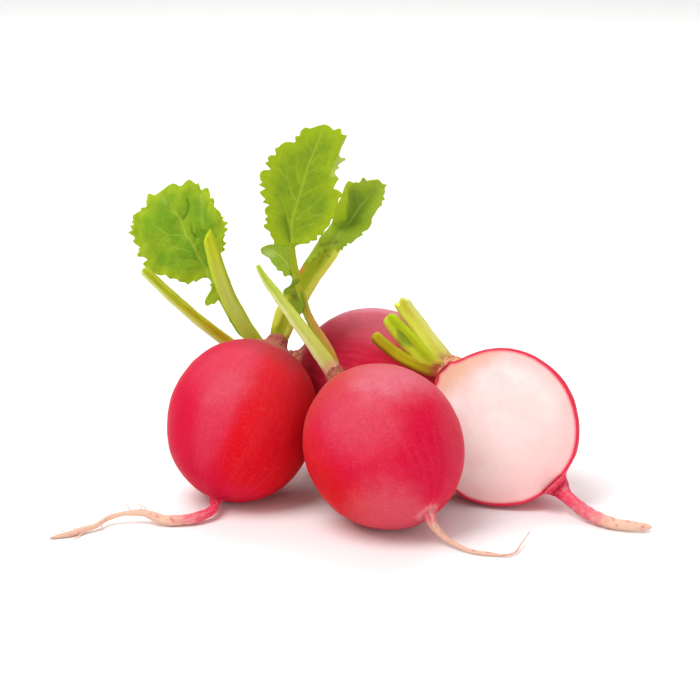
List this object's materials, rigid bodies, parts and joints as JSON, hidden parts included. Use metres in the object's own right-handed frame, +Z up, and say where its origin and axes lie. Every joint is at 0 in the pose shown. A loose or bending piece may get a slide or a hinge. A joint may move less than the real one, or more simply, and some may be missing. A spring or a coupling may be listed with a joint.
{
  "type": "bunch of radishes",
  "caption": "Bunch of round red radishes, whole and halved lengthways, with trailing taproots, cut stalks and young serrated leaves, resting on a surface.",
  "frame": {"origin": "middle of the bunch's footprint, on the surface that the radishes rest on", "axes": "+X to the right along the bunch's longest side, from the left radish's taproot tip to the halved radish's taproot end; +Y from the front radish to the back radish; +Z up"},
  "size_m": [0.1088, 0.0654, 0.0716],
  "materials": {
    "radish_skin": "smooth, softly shiny red skin, paler and pinker where the light grazes it, brownish pink at the crown",
    "radish_flesh_and_skin": "moist white-pink cut flesh inside a thin red skin",
    "stalk": "satin yellow-green with tan streaks and paler edges",
    "pale_stalk": "satin pale yellow-green, tan at the foot",
    "leaf": "satin bright green with paler veins"
  },
  "bodies": {
    "root": {"radish_left": "radish_skin", "radish_front": "radish_skin", "radish_back": "radish_skin", "radish_half": "radish_flesh_and_skin", "left_leaf_stalk": "stalk", "front_cut_stalk": "pale_stalk", "front_leaf_stalk": "stalk", "back_long_cut_stalk": "stalk", "back_pointed_cut_stalk": "stalk", "back_leaf_stalk": "stalk", "half_upper_stub": "stalk", "half_middle_stub": "stalk", "half_lower_stub": "stalk", "dark_leaf": "leaf", "tall_leaf": "leaf", "tall_leaf_side_lobe": "leaf", "tall_leaf_low_lobe": "leaf", "round_leaf": "leaf", "round_leaf_side_lobe": "leaf", "round_leaf_low_lobe": "leaf"}
  },
  "joints": []
}
